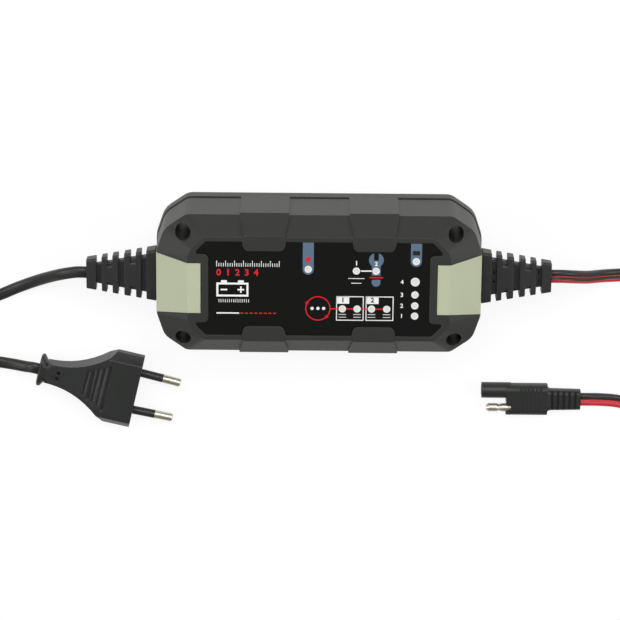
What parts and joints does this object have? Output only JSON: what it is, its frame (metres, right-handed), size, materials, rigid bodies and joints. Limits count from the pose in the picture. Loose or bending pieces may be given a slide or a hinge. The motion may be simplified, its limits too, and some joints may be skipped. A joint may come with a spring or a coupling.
{
  "type": "car battery charger",
  "caption": "Sealed smart charger for car batteries with a flat mains lead and two-pin plug, and a twin low-voltage lead ending in a two-pin trailer connector.",
  "frame": {"origin": "centre of the case's flat back, on the surface that the charger lies on", "axes": "+X along the case towards the low-voltage lead, +Y to the top of the label, +Z out of the label"},
  "size_m": [0.5052, 0.1156, 0.0453],
  "materials": {
    "case_dark": "fine spark-eroded texture, charcoal",
    "case_grey": "fine spark-eroded texture, charcoal",
    "seal": "black silicone",
    "pad": "pale green luminous moulding, satin",
    "label": "printed polycarbonate film, black",
    "light_guide": "milky white",
    "soft_black": "soft black vinyl",
    "steel": "zinc plated",
    "board": "green solder mask",
    "black_moulding": "black moulding compound",
    "ferrite": "sintered ferrite",
    "winding": "enamelled wire under tape",
    "can_sleeve": "shrink sleeve, dark blue",
    "film_yellow": "epoxy",
    "aluminium": "extruded, plain",
    "wire_blue": "wire insulation",
    "wire_red": "wire insulation",
    "cord_black": "black vinyl sheath",
    "tie_black": "black nylon strap",
    "plug_black": "black vinyl, fine texture",
    "nickel": "nickel plated, bright",
    "twin_lead": "red and black vinyl twin lead",
    "brass": "plain brass"
  },
  "bodies": {
    "charger": {"bottom_cover": "case_dark", "top_cover": "case_grey", "case_gasket": "seal", "end_pad_left": "pad", "end_pad_right": "pad", "label_panel": "label", "light_guides": "light_guide", "mains_strain_relief": "soft_black", "dc_strain_relief": "soft_black", "case_screws": "steel", "main_board": "board", "display_board": "board", "display_leds": "light_guide", "mode_switch": "steel", "board_header": "black_moulding", "transformer_core": "ferrite", "transformer_coil": "winding", "bulk_capacitor": "can_sleeve", "output_capacitors": "can_sleeve", "line_filter_choke": "winding", "film_capacitor": "film_yellow", "bridge_rectifier": "black_moulding", "fuse": "film_yellow", "power_transistors": "black_moulding", "heatsinks": "aluminium", "control_chips": "black_moulding", "board_screws": "steel", "display_screws": "steel", "inner_mains_wires": "wire_blue", "inner_dc_wires": "wire_red", "mains_cord_gland_run": "cord_black", "mains_cord_coil": "cord_black", "mains_cord_plug_run": "cord_black", "mains_cord_tie": "tie_black", "plug_body": "plug_black", "plug_pins": "nickel", "plug_pin_sleeves": "plug_black", "dc_lead_gland_run": "twin_lead", "dc_lead_coil": "twin_lead", "dc_lead_connector_run": "twin_lead", "dc_lead_tie": "tie_black", "connector_body": "plug_black", "connector_pin": "nickel", "connector_socket": "brass"},
    "mode_button": {"mode_button": "label", "switch_plunger": "black_moulding"}
  },
  "joints": [
    {"name": "mode_press", "type": "slide", "parent": "charger", "child": "mode_button", "axis": [0, 0, -1], "range_m": [0, 0.0005], "stiffness_N_per_m": 800}
  ]
}
